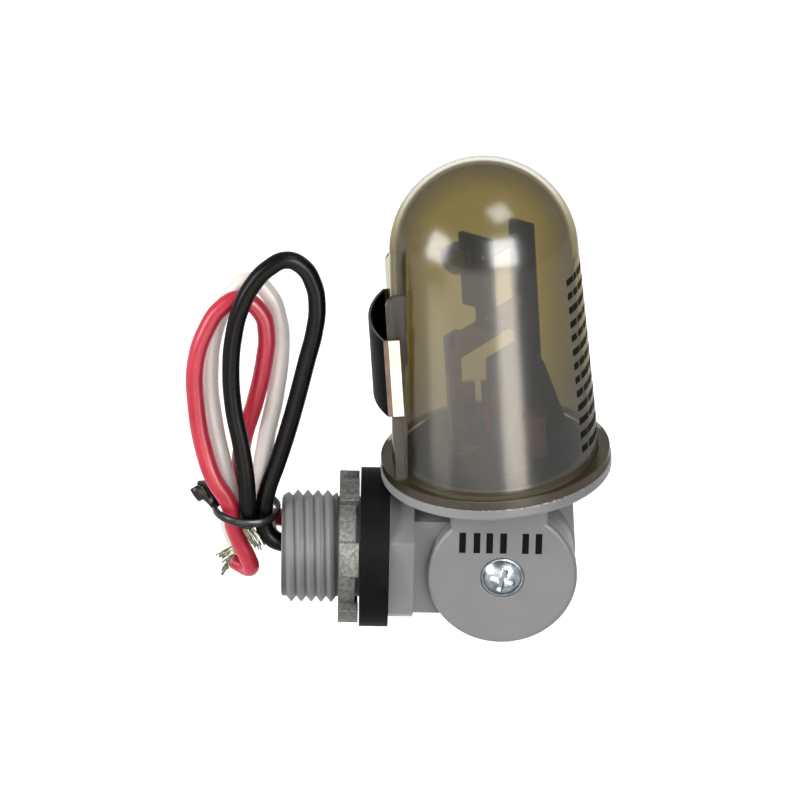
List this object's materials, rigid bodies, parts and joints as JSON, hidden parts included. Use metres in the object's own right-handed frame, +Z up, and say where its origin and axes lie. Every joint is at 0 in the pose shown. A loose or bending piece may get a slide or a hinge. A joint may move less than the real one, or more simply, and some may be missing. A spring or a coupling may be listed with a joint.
{
  "type": "photocell switch",
  "caption": "Swivel-mounted photocell switch: smoky round-topped cover on a grey base, knuckle and threaded conduit nipple with locknut, gasket and tied lead wires.",
  "frame": {"origin": "Centre of the gasket's sealing face, on the axis of the conduit nipple.", "axes": "+X from the nipple to the swivel knuckle, +Y away from the pivot screw's head, +Z up through the cover."},
  "size_m": [0.0773, 0.042, 0.0916],
  "materials": {
    "grey_plastic": "fine satin moulding",
    "smoky_plastic": "smoky brown translucent plastic, glossy",
    "black_rubber": "moulded, slightly dusty",
    "cast_zinc": "bare die-cast zinc, grainy",
    "sheet_steel": "bright sheet with a gloss black front",
    "plated_steel": "bright zinc plated",
    "phenolic": "black moulded phenolic",
    "brass": "rolled strip",
    "cell_face": "lacquered photocell disc",
    "heater_brown": "lacquered winding",
    "bimetal": "dull strip",
    "black_lead": "extruded insulation",
    "red_lead": "extruded insulation",
    "white_lead": "extruded insulation",
    "tinned_copper": "stranded, tinned",
    "tie_plastic": "black tie"
  },
  "bodies": {
    "stem": {"swivel_stem": "grey_plastic", "sealing_gasket": "black_rubber", "lead_black": "black_lead", "lead_red": "red_lead", "lead_white": "white_lead", "stripped_ends": "tinned_copper", "wire_tie": "tie_plastic"},
    "nut": {"locknut": "cast_zinc"},
    "head": {"base": "grey_plastic", "dome": "smoky_plastic", "pivot_screw": "plated_steel", "pivot_nut": "plated_steel", "terminal_block": "phenolic", "rear_plate": "phenolic", "cell_plate": "phenolic", "plate_spacers": "brass", "photocell": "cell_face", "cell_legs": "plated_steel", "heater": "heater_brown", "arm_foot": "brass", "contact_bracket": "brass", "fixed_contact": "plated_steel", "terminal_tabs": "brass", "block_screws": "plated_steel", "inner_lead_black": "black_lead", "inner_lead_red": "red_lead", "inner_lead_white": "white_lead"},
    "slide": {"light_slide": "sheet_steel"},
    "switch_arm": {"bimetal_arm": "bimetal", "moving_contact": "plated_steel"}
  },
  "joints": [
    {"name": "swivel", "type": "hinge", "parent": "stem", "child": "head", "pos_m": [0.0258, 0, 0], "axis": [0, 1, 0], "range_deg": [0, 189]},
    {"name": "locknut_turn", "type": "hinge", "parent": "stem", "child": "nut", "pos_m": [-0.0021, 0, 0], "axis": [1, 0, 0], "continuous": true},
    {"name": "light_level", "type": "slide", "parent": "head", "child": "slide", "axis": [-0.0802, 0, 0.9968], "range_m": [-0.01, 0.006]},
    {"name": "contact_opening", "type": "hinge", "parent": "head", "child": "switch_arm", "pos_m": [0.02424, 0.00345, 0.04456], "axis": [-0.0802, 0, 0.9968], "range_deg": [0, 6], "stiffness_Nm_per_rad": 0.002}
  ]
}
